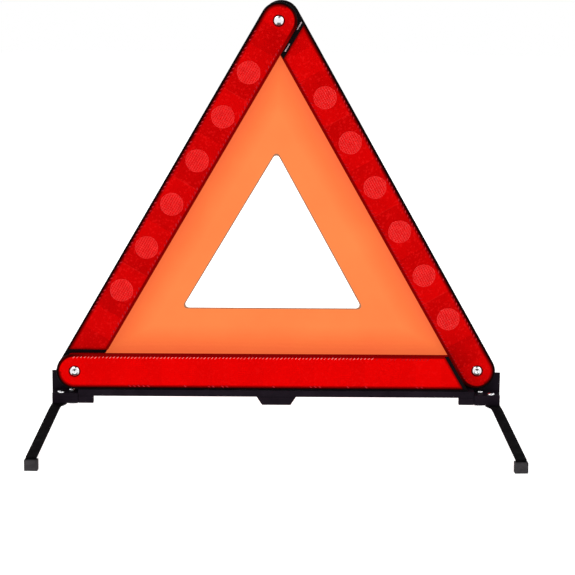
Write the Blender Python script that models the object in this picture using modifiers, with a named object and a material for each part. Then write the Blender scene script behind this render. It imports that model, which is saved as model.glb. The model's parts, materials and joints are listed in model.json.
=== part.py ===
"""Folding roadside warning triangle: three red reflector arms, a fluorescent sheet and a stand.

Frame: X to the right, Y away from the reader, +Z up.  The feet stand on Z = 0.
The base arm is fixed on the stand bar.  The left arm lies one level behind it and the
right arm two levels behind it, so both can turn down flat behind the base arm.
"""
import math

import bmesh
import bpy
from mathutils import Matrix, Vector

# ---------------------------------------------------------------- driving dimensions (metres)
SIDE = 0.400                 # rivet to rivet, along each of the three arms
HINGE_Z = 0.052              # height of the two bottom rivets above the ground
CLEAR = 0.0003               # gap left between touching pieces

ARM_HALF = 0.0180            # half width of an arm, and radius of its round end
ARM_DEPTH = 0.0048
LEVEL_PITCH = 0.0052         # from one arm's front face to the next one's
BASE_FRONT_Y = -0.0078       # front face of the base arm
TONGUE_RADIUS = 0.0175       # round rear end of an arm, hidden behind its neighbour
RIGHT_ARM_SKEW = math.radians(0.4)   # the right arm leans this much outwards of its rivets

LENS_HALF = 0.01575
LENS_DEPTH = 0.0020
LENS_POCKET_DEPTH = 0.0022
LENS_CUT_BASE = 0.0205       # lens ends, measured from the axis of the arm lying in front
LENS_CUT_SIDE = 0.0220
WELL_RADIUS = 0.0064         # hole in the lens around a rivet head

REAR_POCKETS = 8             # weight-saving pockets between the ribs of an arm's rear
REAR_POCKET_PITCH = 0.040
REAR_POCKET_SIZE = (0.034, 0.024, 0.0014)
REAR_POCKET_START = 0.042

SHAFT_RADIUS = 0.0022
HEAD_RADIUS = 0.0050
HEAD_HEIGHT = 0.0017
TAIL_RADIUS = 0.0041
TAIL_HEIGHT = 0.0014
TAIL_BORE_DEPTH = 0.0018

SNAP_SOCKET_RADIUS = 0.0045
SNAP_SOCKET_BORE = 0.0028

SHEET_FRONT_Y = 0.0078
SHEET_THICKNESS = 0.0005
SHEET_PIN_INSET = 0.0140     # from a corner rivet to the sheet's corner pin
SHEET_CORNER_RADIUS = 0.0060
SHEET_HOLE_INSET = 0.0642    # from the arm axes to the edges of the triangular hole
SHEET_HOLE_RADIUS = 0.0035
SHEET_PIN_RADIUS = 0.0020

PLATE_Y = (0.0087, 0.0107)
PLATE_OUT = 0.0238           # outboard of the corner rivet
PLATE_IN = 0.0290            # inboard of the corner rivet
PLATE_TOP = -0.0030          # relative to the rivets' height
PLATE_EAR_RADIUS = 0.0125
BLOCK_OUT = 0.0222           # outboard of the corner rivet
BLOCK_IN = 0.0037            # the leg block starts this far inboard of the corner rivet
PLATE_STEP = 0.0100          # further inboard the plate ends level with the bar's underside
BLOCK_Z = (-0.0320, -0.0220)
BLOCK_Y = (-0.0095, 0.0084)

BAR_END = 0.1966
BAR_Y = (-0.0083, 0.0084)
BAR_Z = (-0.0247, -0.0183)
BAR_WALL = 0.0020
BAR_GROOVE_GAP = 0.0010      # extra thickness of the bar's top wall
BAR_GROOVE_END = 0.0060      # the bar's groove stops this far short of the end pads
CENTRE_SEAT_MARGIN = 0.0030  # solid length of the bar beyond each side of the centre foot
PAD_X = (0.1815, 0.1965)
PAD_Y = (-0.0083, -0.0020)
CENTRE_FOOT_TOP_HALF = 0.0193
CENTRE_FOOT_BOTTOM_HALF = 0.0142
CENTRE_FOOT_Z = -0.0330

LEG_WIDTH = 0.0100
LEG_THICKNESS = 0.0017
LEG_RUN = 0.166              # pivot to foot
LEG_TOE_OUT = math.radians(2.5)
LEG_OFFSET = 0.0040          # the strip runs this far outboard of its pivot
LEG_EAR_RADIUS = 0.0052
LEG_JOG = (0.0040, 0.0100)   # where the ear's outboard and inboard sides meet the strip
FRONT_PIVOT = (0.0135, -0.0050)      # outboard of the corner rivet, and along Y
REAR_PIVOT = (0.0035, 0.0050)
LEG_TOP = -0.0323
LEG_STRAIGHT = 0.024         # level part next to the pivot
LEG_END_RISE = 0.0008        # height of the strip's bend above the foot cap
LEG_TAB_GAP = 0.0015         # the strip's tab stops this far above the bottom of the cap's slot
LEG_EAR_ARC = (115, 310)     # where the ear's rounding starts and ends, in degrees
FOOT_SIZE = (0.0122, 0.0080, 0.0100)
FOOT_WALL = 0.0020
LEG_RIVET_HEAD = 0.0036
LEG_RIVET_HEIGHT = 0.0012

ROUND_STEPS = 24
ARC_STEPS = 16
DOME_STEPS = 3
CORNER_STEPS = 6

CORNERS = {
    "left": Vector((-SIDE / 2, 0.0, HINGE_Z)),
    "right": Vector((SIDE / 2, 0.0, HINGE_Z)),
    "top": Vector((0.0, 0.0, HINGE_Z + SIDE * math.sin(math.radians(60)))),
}

# ---------------------------------------------------------------- scene, collections, materials
for old in list(bpy.data.objects):
    bpy.data.objects.remove(old, do_unlink=True)

parts = bpy.data.collections.new("warning_triangle")
cutters = bpy.data.collections.new("cutters")
bpy.context.scene.collection.children.link(parts)
bpy.context.scene.collection.children.link(cutters)


def material(name, colour, roughness, metallic=0.0):
    """A Principled material."""
    mat = bpy.data.materials.new(name)
    mat.use_nodes = True
    shader = mat.node_tree.nodes["Principled BSDF"]
    shader.inputs["Base Color"].default_value = (*colour, 1.0)
    shader.inputs["Roughness"].default_value = roughness
    shader.inputs["Metallic"].default_value = metallic
    return mat


LOOKS = {
    "housing": ((0.012, 0.010, 0.012), 0.45, 0.0),
    "lens": ((0.62, 0.004, 0.006), 0.18, 0.0),
    "rivet": ((0.80, 0.80, 0.82), 0.22, 1.0),
    "sheet": ((1.0, 0.22, 0.06), 0.65, 0.0),
    "stand": ((0.020, 0.018, 0.022), 0.50, 0.0),
    "leg": ((0.035, 0.033, 0.036), 0.55, 0.3),
    "foot": ((0.060, 0.058, 0.060), 0.75, 0.0),
}


# ---------------------------------------------------------------- shape helpers
def depth_matrix(origin, angle):
    """Map a drawing's (u, v, height) to the world: u runs at the angle in XZ, height to -Y."""
    along = Vector((math.cos(angle), 0.0, math.sin(angle)))
    across = Vector((-math.sin(angle), 0.0, math.cos(angle)))
    matrix = Matrix((along, across, Vector((0.0, -1.0, 0.0)))).transposed().to_4x4()
    matrix.translation = origin
    return matrix


def arc(centre, radius, start, end, steps=ARC_STEPS):
    """Points along an arc, angles in degrees."""
    points = []
    for i in range(steps + 1):
        turn = math.radians(start + (end - start) * i / steps)
        points.append((centre[0] + radius * math.cos(turn), centre[1] + radius * math.sin(turn)))
    return points


def circle(radius):
    """Points around a full circle."""
    return arc((0.0, 0.0), radius, 0, 360, ROUND_STEPS)[:-1]


def ring_mesh(name, inner, outer, low, high, matrix):
    """A flat ring between two heights."""
    return mesh_from_outlines(name, [circle(outer), circle(inner)], low, high, matrix)


def rounded_triangle(inset, radius):
    """The triangle of the three arm axes, moved in by inset and with rounded corners."""
    reach = SIDE / math.sqrt(3) - 2 * inset - 2 * radius
    points = []
    for heading in (-150, -30, 90):
        turn = math.radians(heading)
        middle = (reach * math.cos(turn), reach * math.sin(turn))
        points += arc(middle, radius, heading - 60, heading + 60, CORNER_STEPS)
    return points


def mesh_from_outlines(name, outlines, low, high, matrix):
    """Extrude closed outlines (the later ones are holes) from low to high, placed by matrix."""
    curve = bpy.data.curves.new(name + "_drawing", "CURVE")
    curve.dimensions = "2D"
    curve.fill_mode = "BOTH"
    curve.extrude = (high - low) / 2
    for outline in outlines:
        spline = curve.splines.new("POLY")
        spline.points.add(len(outline) - 1)
        for point, (u, v) in zip(spline.points, outline):
            point.co = (u, v, 0.0, 1.0)
        spline.use_cyclic_u = True
    drawing = bpy.data.objects.new(name + "_drawing", curve)
    bpy.context.scene.collection.objects.link(drawing)
    graph = bpy.context.evaluated_depsgraph_get()
    mesh = bpy.data.meshes.new_from_object(drawing.evaluated_get(graph))
    bpy.data.objects.remove(drawing, do_unlink=True)
    bpy.data.curves.remove(curve)
    weld(mesh)
    mesh.transform(matrix @ Matrix.Translation((0.0, 0.0, (low + high) / 2)))
    mesh.name = name
    return mesh


def weld(mesh):
    """Merge the doubled vertices that a curve's caps leave."""
    work = bmesh.new()
    work.from_mesh(mesh)
    bmesh.ops.remove_doubles(work, verts=work.verts, dist=1e-6)
    bmesh.ops.recalc_face_normals(work, faces=work.faces)
    work.to_mesh(mesh)
    work.free()


def add_part(name, mesh, look, pivot=None):
    """Link a mesh as a named part, with its origin on its pivot."""
    obj = bpy.data.objects.new(name, mesh)
    parts.objects.link(obj)
    if pivot is not None:
        mesh.transform(Matrix.Translation(-pivot))
        obj.location = pivot
    colour, roughness, metallic = LOOKS[look]
    mesh.materials.clear()
    mesh.materials.append(material(name, colour, roughness, metallic))
    return obj


def add_cutter(name, mesh):
    """Link a mesh as a hidden cutter."""
    obj = bpy.data.objects.new(name, mesh)
    obj.hide_render = True
    obj.display_type = "WIRE"
    cutters.objects.link(obj)
    return obj


def combine(target, other, operation="DIFFERENCE", solver="EXACT"):
    """A Boolean modifier; the slanted arms need the manifold solver."""
    boolean = target.modifiers.new(operation.lower(), "BOOLEAN")
    boolean.operation = operation
    boolean.solver = solver
    boolean.object = other


def smooth(obj, degrees=30):
    """Smooth shading that keeps the hard edges."""
    obj.data.shade_smooth()
    obj.data.set_sharp_from_angle(angle=math.radians(degrees))


def box_mesh(name, low, high):
    """A box between two opposite corners, with its scale applied."""
    bpy.ops.mesh.primitive_cube_add(size=1.0)
    cube = bpy.context.object
    mesh = cube.data
    mesh.name = name
    size = [high[i] - low[i] for i in range(3)]
    middle = [(high[i] + low[i]) / 2 for i in range(3)]
    mesh.transform(Matrix.Translation(middle) @ Matrix.Diagonal((*size, 1.0)))
    bpy.data.objects.remove(cube, do_unlink=True)
    return mesh


def cylinder_mesh(name, centre, radius, low, high, axis="Y"):
    """A cylinder along Y or Z between two depths."""
    bpy.ops.mesh.primitive_cylinder_add(vertices=ROUND_STEPS, radius=radius, depth=high - low)
    cylinder = bpy.context.object
    mesh = cylinder.data
    mesh.name = name
    middle = (low + high) / 2
    if axis == "Y":
        turn = Matrix.Rotation(math.radians(90), 4, "X")
        place = Matrix.Translation((centre[0], middle, centre[1]))
    else:
        turn = Matrix.Identity(4)
        place = Matrix.Translation((centre[0], centre[1], middle))
    mesh.transform(place @ turn)
    bpy.data.objects.remove(cylinder, do_unlink=True)
    return mesh


def turned_part(name, profile, look, location, toward_reader=True):
    """A turned piece: its profile runs from the top centre down the outer side."""
    mesh = bpy.data.meshes.new(name)
    edges = [(i, i + 1) for i in range(len(profile) - 1)]
    mesh.from_pydata([(radius, 0.0, height) for radius, height in profile], edges, [])
    obj = add_part(name, mesh, look)
    obj.location = location
    if toward_reader:
        obj.rotation_euler = (math.radians(90), 0.0, 0.0)
    screw = obj.modifiers.new("turn", "SCREW")
    screw.axis = "Z"
    screw.steps = ROUND_STEPS
    screw.render_steps = ROUND_STEPS
    screw.use_merge_vertices = True
    screw.merge_threshold = 0.00001
    screw.use_smooth_shade = True
    return obj


def dome(radius, base, height):
    """Profile of a low dome, from its crown to its rim."""
    ball = (radius * radius + height * height) / (2 * height)
    span = math.asin(radius / ball)
    points = []
    for i in range(DOME_STEPS + 1):
        turn = span * i / DOME_STEPS
        points.append((ball * math.sin(turn), base + height - ball * (1 - math.cos(turn))))
    return points


# ---------------------------------------------------------------- the three reflector arms
def level_front(level):
    """Y of the front face of an arm in the stack."""
    return BASE_FRONT_Y + level * LEVEL_PITCH


def round_start(half, tail):
    """Outline with a round end at u = 0 and the given tail points, counterclockwise."""
    return arc((0.0, 0.0), half, 90, 270) + tail


def slanted_tail(half, offset, lean):
    """Tail points where an arm ends beside a neighbour crossing it at the lean angle."""
    points = []
    for v in (-half, half):
        run = (v - offset * math.sin(lean + math.pi / 2)) / math.sin(lean)
        points.append((SIDE + offset * math.cos(lean + math.pi / 2) + run * math.cos(lean), v))
    return points


def round_tail(radius):
    """Tail points of a tongue that ends round about the far rivet."""
    return arc((SIDE, 0.0), radius, -90, 90)


def lens_outline(grow, offset):
    """Reflector outline: round about its own rivet, cut off beside the neighbouring arm."""
    half = LENS_HALF + grow
    return round_start(half, slanted_tail(half, offset - grow, math.radians(120)))


def make_arm(side, level, origin, angle, tail, lens_offset, pivot):
    """Housing and lens of one arm.  u runs from the arm's round end to its tail."""
    matrix = depth_matrix(origin, angle)
    front = level_front(level)
    floor = front + LENS_POCKET_DEPTH
    outline = round_start(ARM_HALF, tail)
    mesh = mesh_from_outlines(f"{side}_arm_housing", [outline], -front - ARM_DEPTH, -front, matrix)
    housing = add_part(f"{side}_arm_housing", mesh, "housing", pivot)

    pocket = mesh_from_outlines(
        f"{side}_lens_pocket", [lens_outline(CLEAR, lens_offset)], -floor, -front + 0.001, matrix)
    combine(housing, add_cutter(f"{side}_lens_pocket", pocket), solver="MANIFOLD")

    rear = front + ARM_DEPTH
    length, width, depth = REAR_POCKET_SIZE
    shapes = []
    for i in range(REAR_POCKETS):
        middle = REAR_POCKET_START + (i + 0.5) * REAR_POCKET_PITCH
        shapes.append([(middle - length / 2, -width / 2), (middle + length / 2, -width / 2),
                       (middle + length / 2, width / 2), (middle - length / 2, width / 2)])
    name = f"{side}_rear_pockets"
    cut = mesh_from_outlines(name, shapes, -rear - 0.001, -rear + depth, matrix)
    combine(housing, add_cutter(name, cut), solver="MANIFOLD")

    well = circle(WELL_RADIUS)
    lens_mesh = mesh_from_outlines(
        f"{side}_arm_lens", [lens_outline(0.0, lens_offset), well],
        -front - LENS_DEPTH, -front, matrix)
    lens = add_part(f"{side}_arm_lens", lens_mesh, "lens", pivot)
    return housing, lens


def bore(target, name, corner, radius, low, high):
    """A hole along Y, centred on one of the corners."""
    centre = (CORNERS[corner].x, CORNERS[corner].z)
    cutter = add_cutter(name, cylinder_mesh(name, centre, radius, low, high))
    combine(target, cutter, solver="MANIFOLD")


# seen from the front, the base arm's tail just covers the inner rim of the right arm behind it
cut_edge = ARM_HALF - 0.0007
base_housing, base_lens = make_arm(
    "base", 0, CORNERS["left"], 0.0,
    slanted_tail(ARM_HALF, cut_edge, math.radians(120)), LENS_CUT_BASE, None)
left_housing, left_lens = make_arm(
    "left", 1, CORNERS["top"], math.radians(240),
    round_tail(TONGUE_RADIUS), LENS_CUT_SIDE, CORNERS["left"])
right_housing, right_lens = make_arm(
    "right", 2, CORNERS["right"], math.radians(120) - RIGHT_ARM_SKEW,
    round_tail(ARM_HALF), LENS_CUT_SIDE, CORNERS["right"])

hole = SHAFT_RADIUS + CLEAR
bore(base_housing, "base_rivet_hole", "left", hole, -0.02, 0.02)
bore(left_housing, "left_rivet_hole", "left", hole, -0.02, 0.02)
bore(left_housing, "left_tail_bore", "left", TAIL_RADIUS + CLEAR,
     level_front(1) + ARM_DEPTH - TAIL_BORE_DEPTH, 0.02)
bore(left_housing, "snap_stud_hole", "top", hole, -0.02, 0.02)
bore(right_housing, "right_rivet_hole", "right", hole, -0.02, 0.02)
bore(right_housing, "snap_socket_bore", "top", SNAP_SOCKET_RADIUS + CLEAR, -0.02, 0.02)

# the sheet's top corner hangs on a small pin moulded on the right arm's tongue
top_pin = CORNERS["top"] - Vector((0.0, 0.0, SHEET_PIN_INSET))
pin_mesh = cylinder_mesh("sheet_top_pin", (top_pin.x, top_pin.z), SHEET_PIN_RADIUS,
                         level_front(2) + ARM_DEPTH - 0.001, SHEET_FRONT_Y + SHEET_THICKNESS)
combine(right_housing, add_cutter("sheet_top_pin", pin_mesh), "UNION", "MANIFOLD")

# ---------------------------------------------------------------- corner rivets and the top snap
def rivet_profile(head_base, tail_top, tail_bottom, tail_radius):
    """Domed head, plain shaft, flat tail.  Heights grow towards the reader."""
    points = dome(HEAD_RADIUS, head_base, HEAD_HEIGHT)
    points += [(SHAFT_RADIUS, head_base), (SHAFT_RADIUS, tail_top)]
    if tail_radius > SHAFT_RADIUS:
        points += [(tail_radius, tail_top), (tail_radius, tail_bottom)]
    points.append((0.0, points[-1][1]))
    return points


left_rear = level_front(1) + ARM_DEPTH
turned_part(
    "bottom_left_rivet",
    rivet_profile(-(level_front(0) + LENS_POCKET_DEPTH - CLEAR),
                  -(left_rear - TAIL_BORE_DEPTH + CLEAR),
                  -(left_rear - TAIL_BORE_DEPTH + CLEAR + TAIL_HEIGHT), TAIL_RADIUS),
    "rivet", CORNERS["left"])
turned_part(
    "bottom_right_rivet",
    rivet_profile(-(level_front(2) + LENS_POCKET_DEPTH - CLEAR), -(PLATE_Y[1] + CLEAR),
                  -(PLATE_Y[1] + CLEAR + TAIL_HEIGHT), TAIL_RADIUS),
    "rivet", CORNERS["right"])
snap_stud_end = left_rear + 0.0002
turned_part(
    "top_snap_stud",
    rivet_profile(-(level_front(1) + LENS_POCKET_DEPTH - CLEAR), -snap_stud_end, 0.0, 0.0),
    "rivet", CORNERS["top"])
socket_front = snap_stud_end + CLEAR
socket_rear = level_front(2) + ARM_DEPTH - 0.0002
add_part(
    "top_snap_socket",
    ring_mesh("top_snap_socket", SNAP_SOCKET_BORE, SNAP_SOCKET_RADIUS, -socket_rear,
              -socket_front, depth_matrix(CORNERS["top"], 0.0)),
    "rivet", CORNERS["right"])

# ---------------------------------------------------------------- fluorescent sheet
centre_z = HINGE_Z + SIDE / (2 * math.sqrt(3))
sheet_matrix = depth_matrix(Vector((0.0, 0.0, centre_z)), 0.0)
sheet_inset = SHEET_PIN_INSET / 2 - SHEET_CORNER_RADIUS
sheet_outline = rounded_triangle(sheet_inset, SHEET_CORNER_RADIUS)
hole_outline = rounded_triangle(SHEET_HOLE_INSET, SHEET_HOLE_RADIUS)
sheet = add_part(
    "fluorescent_sheet",
    mesh_from_outlines("fluorescent_sheet", [sheet_outline, hole_outline],
                       -SHEET_FRONT_Y - SHEET_THICKNESS, -SHEET_FRONT_Y, sheet_matrix),
    "sheet")
pin_reach = SIDE / math.sqrt(3) - SHEET_PIN_INSET
for corner, heading in (("left", -150), ("right", -30), ("top", 90)):
    turn = math.radians(heading)
    centre = (pin_reach * math.cos(turn), centre_z + pin_reach * math.sin(turn))
    name = f"sheet_eyelet_{corner}"
    eyelet = cylinder_mesh(name, centre, SHEET_PIN_RADIUS + CLEAR, 0.0, 0.02)
    combine(sheet, add_cutter(name, eyelet))

# ---------------------------------------------------------------- stand bar, pads, centre foot
bar = add_part(
    "stand_bar",
    box_mesh("stand_bar", (-BAR_END, BAR_Y[0], HINGE_Z + BAR_Z[0]),
             (BAR_END, BAR_Y[1], HINGE_Z + BAR_Z[1])), "stand")
groove = box_mesh(
    "bar_groove", (-PAD_X[0] + BAR_GROOVE_END, BAR_Y[0] + BAR_WALL, HINGE_Z + BAR_Z[0] - 0.01),
    (PAD_X[0] - BAR_GROOVE_END, BAR_Y[1] - BAR_WALL, HINGE_Z + BAR_Z[1] - BAR_WALL - BAR_GROOVE_GAP))
combine(bar, add_cutter("bar_groove", groove))
seat = box_mesh(
    "centre_seat", (-CENTRE_FOOT_TOP_HALF - CENTRE_SEAT_MARGIN, BAR_Y[0] + BAR_WALL, HINGE_Z + BAR_Z[0]),
    (CENTRE_FOOT_TOP_HALF + CENTRE_SEAT_MARGIN, BAR_Y[1] - BAR_WALL, HINGE_Z + BAR_Z[1] - BAR_WALL))
combine(bar, add_cutter("centre_seat", seat), "UNION")

for side, sign in (("left", -1), ("right", 1)):
    low = min(sign * PAD_X[0], sign * PAD_X[1])
    high = max(sign * PAD_X[0], sign * PAD_X[1])
    add_part(
        f"{side}_bar_pad",
        box_mesh(f"{side}_bar_pad", (low, PAD_Y[0], HINGE_Z + BLOCK_Z[0]),
                 (high, PAD_Y[1], HINGE_Z + BAR_Z[0] - CLEAR)), "stand")

foot_outline = [
    (-CENTRE_FOOT_BOTTOM_HALF, CENTRE_FOOT_Z), (CENTRE_FOOT_BOTTOM_HALF, CENTRE_FOOT_Z),
    (CENTRE_FOOT_TOP_HALF, BAR_Z[0] - CLEAR), (-CENTRE_FOOT_TOP_HALF, BAR_Z[0] - CLEAR)]
add_part(
    "centre_foot",
    mesh_from_outlines("centre_foot", [foot_outline], -BAR_Y[1], -BAR_Y[0],
                       depth_matrix(Vector((0.0, 0.0, HINGE_Z)), 0.0)), "stand")

# ---------------------------------------------------------------- end plates and leg blocks
def screw_part(name, head_radius, shaft_radius, head_height, length, location, turn):
    """A screw with a flat round head; its axis is turned from +Z by the given angles."""
    profile = [(0.0, head_height), (head_radius, head_height), (head_radius, 0.0),
               (shaft_radius, 0.0), (shaft_radius, -length), (0.0, -length)]
    obj = turned_part(name, profile, "rivet", location, toward_reader=False)
    obj.rotation_euler = turn
    return obj


SCREW_SHAFT = 0.0012
SCREW_HEAD = 0.0026
SCREW_HEAD_HEIGHT = 0.0012
PLATE_SCREW = (0.0200, -0.0215)      # inboard of the corner rivet, and below it
PLATE_SCREW_END_Y = 0.0040
BASE_SCREW_X = 0.150
BASE_SCREW_REACH = 0.0060
BASE_SCREW_SHAFT = 0.0010
BASE_SCREW_HEAD = 0.0016
BASE_SCREW_COVER = 0.0015            # from the screw's axis to the base arm's rear face

for side, sign in (("left", -1), ("right", 1)):
    corner = CORNERS[side]
    plate_outline = [
        (sign * PLATE_OUT, PLATE_TOP), (sign * PLATE_OUT, BLOCK_Z[0]),
        (-sign * BLOCK_IN, BLOCK_Z[0]), (-sign * PLATE_STEP, BAR_Z[0]),
        (-sign * PLATE_IN, BAR_Z[0]), (-sign * PLATE_IN, PLATE_TOP)]
    plate = add_part(
        f"{side}_end_plate",
        mesh_from_outlines(f"{side}_end_plate", [plate_outline], -PLATE_Y[1], -PLATE_Y[0],
                           depth_matrix(corner, 0.0)), "stand")
    ear = cylinder_mesh(f"{side}_plate_ear", (corner.x, corner.z), PLATE_EAR_RADIUS, *PLATE_Y)
    combine(plate, add_cutter(f"{side}_plate_ear", ear), "UNION")
    pin_x = corner.x - sign * SHEET_PIN_INSET * math.cos(math.radians(30))
    pin_z = corner.z + SHEET_PIN_INSET * math.sin(math.radians(30))
    lug = cylinder_mesh(f"{side}_pin_lug", (pin_x, pin_z), 2 * SHEET_PIN_RADIUS, *PLATE_Y)
    combine(plate, add_cutter(f"{side}_pin_lug", lug), "UNION")
    pin = cylinder_mesh(f"{side}_sheet_pin", (pin_x, pin_z), SHEET_PIN_RADIUS,
                        SHEET_FRONT_Y, PLATE_Y[0] + 0.001)
    combine(plate, add_cutter(f"{side}_sheet_pin", pin), "UNION")
    if side == "right":
        bore(plate, "plate_rivet_hole", side, hole, -0.02, 0.03)

    inner_xs = sorted((corner.x + sign * BLOCK_OUT, corner.x - sign * BLOCK_IN + sign * 2 * CLEAR))
    add_part(
        f"{side}_leg_block",
        box_mesh(f"{side}_leg_block", (inner_xs[0], BLOCK_Y[0], HINGE_Z + BLOCK_Z[0]),
                 (inner_xs[1], BLOCK_Y[1], HINGE_Z + BLOCK_Z[1])), "stand")
    block = parts.objects[f"{side}_leg_block"]

    screw_x = corner.x - sign * PLATE_SCREW[0]
    screw_z = corner.z + PLATE_SCREW[1]
    screw_hole = cylinder_mesh(f"{side}_plate_screw_hole", (screw_x, screw_z),
                               SCREW_SHAFT + CLEAR, 0.0025, 0.02)
    screw_cutter = add_cutter(f"{side}_plate_screw_hole", screw_hole)
    combine(plate, screw_cutter)
    combine(bar, screw_cutter)
    screw_part(f"{side}_plate_screw", SCREW_HEAD, SCREW_SHAFT, SCREW_HEAD_HEIGHT,
               PLATE_Y[1] - PLATE_SCREW_END_Y, Vector((screw_x, PLATE_Y[1] + CLEAR, screw_z)),
               (math.radians(-90), 0.0, 0.0))

    base_x = sign * BASE_SCREW_X
    base_y = BASE_FRONT_Y + ARM_DEPTH - BASE_SCREW_COVER
    underside = HINGE_Z + BAR_Z[1] - BAR_WALL - BAR_GROOVE_GAP
    base_hole = cylinder_mesh(f"{side}_base_screw_hole", (base_x, base_y),
                              BASE_SCREW_SHAFT + CLEAR,
                              underside - 0.002, underside + BASE_SCREW_REACH, "Z")
    base_cutter = add_cutter(f"{side}_base_screw_hole", base_hole)
    combine(bar, base_cutter)
    combine(base_housing, base_cutter)
    screw_part(f"{side}_base_screw", BASE_SCREW_HEAD, BASE_SCREW_SHAFT, SCREW_HEAD_HEIGHT,
               BASE_SCREW_REACH - 2 * CLEAR, Vector((base_x, base_y, underside - CLEAR)),
               (math.pi, 0.0, 0.0))

    # -------------------------------------------------------- two legs on this end
    for row, pivot_xy, facing in (("front", FRONT_PIVOT, -1), ("rear", REAR_PIVOT, 1)):
        pivot = Vector((corner.x + sign * pivot_xy[0], pivot_xy[1], HINGE_Z + LEG_TOP))
        leg_name = f"{row}_{side}_leg"
        foot_top = FOOT_SIZE[2]
        end_drop = pivot.z - foot_top - LEG_END_RISE
        half = LEG_WIDTH / 2
        thick = LEG_THICKNESS
        run = LEG_RUN
        tab = pivot.z - FOOT_WALL - LEG_TAB_GAP
        outboard = -facing * sign
        side_view = [
            (-2 * half, 0.0), (-2 * half, -thick), (LEG_STRAIGHT, -thick),
            (run - thick / 2, -end_drop), (run - thick / 2, -tab),
            (run + thick / 2, -tab), (run + thick / 2, -end_drop + thick),
            (LEG_STRAIGHT, 0.0)]
        # the strip is drawn in side view along +X, then turned to point out from the stand
        strip = mesh_from_outlines(leg_name, [side_view], -3 * half, 3 * half,
                                   depth_matrix(Vector((0.0, 0.0, 0.0)), 0.0))
        heading = facing * (math.pi / 2) + facing * sign * -LEG_TOE_OUT
        strip.transform(Matrix.Translation(pivot) @ Matrix.Rotation(heading, 4, "Z"))
        leg = add_part(leg_name, strip, "leg", pivot)
        inner, outer = LEG_OFFSET - half, LEG_OFFSET + half
        plan = [(run + 0.01, outer), (LEG_JOG[0], outer)]
        plan += arc((0.0, 0.0), LEG_EAR_RADIUS, *LEG_EAR_ARC)
        plan += [(LEG_JOG[1], inner), (run + 0.01, inner)]
        plan = [(u, v * outboard) for u, v in plan]
        rounding = mesh_from_outlines(
            f"{leg_name}_plan", [plan], -0.05, 0.01, Matrix.Identity(4))
        rounding.transform(Matrix.Translation(pivot) @ Matrix.Rotation(heading, 4, "Z"))
        combine(leg, add_cutter(f"{leg_name}_plan", rounding), "INTERSECT")
        drill_low = HINGE_Z + LEG_TOP - 0.01
        drill = cylinder_mesh(f"{leg_name}_hole", (pivot.x, pivot.y), hole,
                              drill_low, HINGE_Z + BLOCK_Z[1] + 0.01, "Z")
        drill_cutter = add_cutter(f"{leg_name}_hole", drill)
        combine(leg, drill_cutter)
        combine(block, drill_cutter)

        rivet_tail = LEG_TOP - thick - CLEAR
        rivet_points = dome(LEG_RIVET_HEAD, BLOCK_Z[1] + CLEAR, LEG_RIVET_HEIGHT)
        rivet_points += [(SHAFT_RADIUS, BLOCK_Z[1] + CLEAR), (SHAFT_RADIUS, rivet_tail),
                         (LEG_RIVET_HEAD, rivet_tail),
                         (LEG_RIVET_HEAD, rivet_tail - LEG_RIVET_HEIGHT),
                         (0.0, rivet_tail - LEG_RIVET_HEIGHT)]
        turned_part(f"{leg_name}_rivet", rivet_points, "rivet",
                    Vector((pivot.x, pivot.y, HINGE_Z)), toward_reader=False)

        width, depth, height = FOOT_SIZE
        middle = LEG_OFFSET * outboard
        cap = box_mesh(f"{leg_name}_foot", (run - depth / 2, middle - width / 2, 0.0),
                       (run + depth / 2, middle + width / 2, height))
        spin = Matrix.Rotation(heading, 4, "Z")
        ground = Vector((pivot.x, pivot.y, 0.0))
        cap.transform(Matrix.Translation(ground) @ spin)
        foot = add_part(f"{leg_name}_foot", cap, "foot", pivot)
        slot = box_mesh(f"{leg_name}_slot",
                        (run - thick / 2 - CLEAR, middle - half - CLEAR, FOOT_WALL),
                        (run + thick / 2 + CLEAR, middle + half + CLEAR, height + 0.01))
        slot.transform(Matrix.Translation(ground) @ spin)
        combine(foot, add_cutter(f"{leg_name}_slot", slot))

for obj in parts.objects:
    if not any(modifier.type == "SCREW" for modifier in obj.modifiers):
        smooth(obj)
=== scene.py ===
"""Looks of the folding warning triangle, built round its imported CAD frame."""
import json
import math
import random

import bmesh
import bpy
from mathutils import Matrix, Vector


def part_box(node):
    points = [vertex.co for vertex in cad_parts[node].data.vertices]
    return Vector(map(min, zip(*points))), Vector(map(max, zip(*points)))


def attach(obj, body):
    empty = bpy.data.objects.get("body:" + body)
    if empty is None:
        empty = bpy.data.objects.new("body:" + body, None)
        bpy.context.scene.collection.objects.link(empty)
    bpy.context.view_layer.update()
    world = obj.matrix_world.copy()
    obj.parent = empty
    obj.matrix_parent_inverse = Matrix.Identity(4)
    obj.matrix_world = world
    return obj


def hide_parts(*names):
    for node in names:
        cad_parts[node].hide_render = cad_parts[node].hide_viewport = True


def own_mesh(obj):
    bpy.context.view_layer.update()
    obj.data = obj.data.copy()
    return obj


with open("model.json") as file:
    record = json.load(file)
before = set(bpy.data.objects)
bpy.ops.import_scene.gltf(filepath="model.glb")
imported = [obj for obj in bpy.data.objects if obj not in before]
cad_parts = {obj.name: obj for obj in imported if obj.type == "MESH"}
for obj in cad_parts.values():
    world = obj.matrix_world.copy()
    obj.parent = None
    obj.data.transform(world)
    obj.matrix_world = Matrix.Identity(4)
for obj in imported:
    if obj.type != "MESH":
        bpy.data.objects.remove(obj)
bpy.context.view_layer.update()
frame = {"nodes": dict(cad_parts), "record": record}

# ------------------------------------------------------------------ dimensions (metres)
ARM_HALF = 0.0180            # half width of a housing
ARM_DEPTH = 0.0048
BASE_CUT = 0.0173            # the base arm's tail just covers the rim of the arm behind it
TAIL_LEAN = math.radians(120)
RIM_ROUND = 0.0007           # rounding of a housing's front edge

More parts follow.
